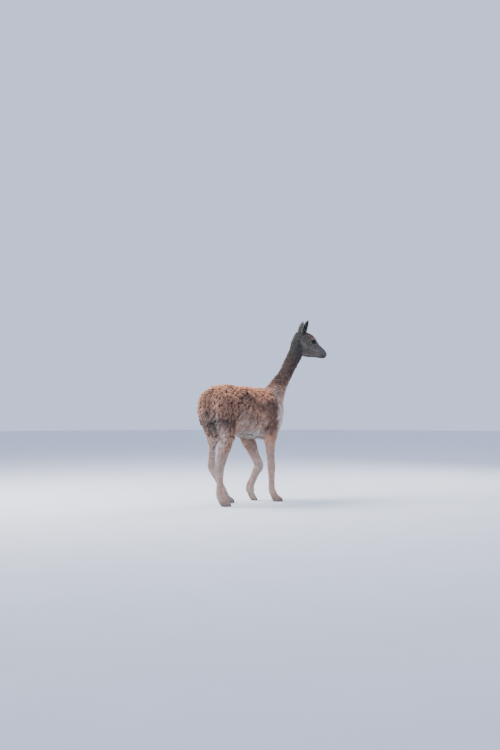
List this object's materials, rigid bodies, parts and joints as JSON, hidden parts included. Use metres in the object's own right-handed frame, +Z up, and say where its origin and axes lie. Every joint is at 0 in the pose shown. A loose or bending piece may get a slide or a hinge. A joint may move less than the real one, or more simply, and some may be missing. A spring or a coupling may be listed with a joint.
{
  "type": "vicuna",
  "caption": "Life-size vicuna model, paused in a walk with head raised, cinnamon fleece, cream bib and belly, slim pale legs on small flat toes.",
  "frame": {"origin": "centre of the bounding box at floor level, under the belly", "axes": "+Z up; the animal faces -Y; its left side is +X; the head is turned to its right, towards -X"},
  "size_m": [0.3418, 1.1596, 1.3618],
  "materials": {
    "fleece": "curly cinnamon fleece, cream bib and belly",
    "face_fur": "short grey-brown fur, darker at the muzzle and ears",
    "leg_fur": "short cream to pink-fawn fur",
    "eye": "dark, wet-looking glossy eye",
    "horn": "dull dark horn nails"
  },
  "bodies": {
    "root": {"torso": "fleece", "neck": "fleece", "head": "face_fur", "tail": "fleece", "ear_left": "face_fur", "ear_right": "face_fur", "eye_left": "eye", "eye_right": "eye", "fore_leg_left": "leg_fur", "fore_leg_right": "leg_fur", "hind_leg_left": "leg_fur", "hind_leg_right": "leg_fur", "fore_nail_left_a": "horn", "fore_nail_left_b": "horn", "fore_nail_right_a": "horn", "fore_nail_right_b": "horn", "hind_nail_left_a": "horn", "hind_nail_left_b": "horn", "hind_nail_right_a": "horn", "hind_nail_right_b": "horn"}
  },
  "joints": []
}
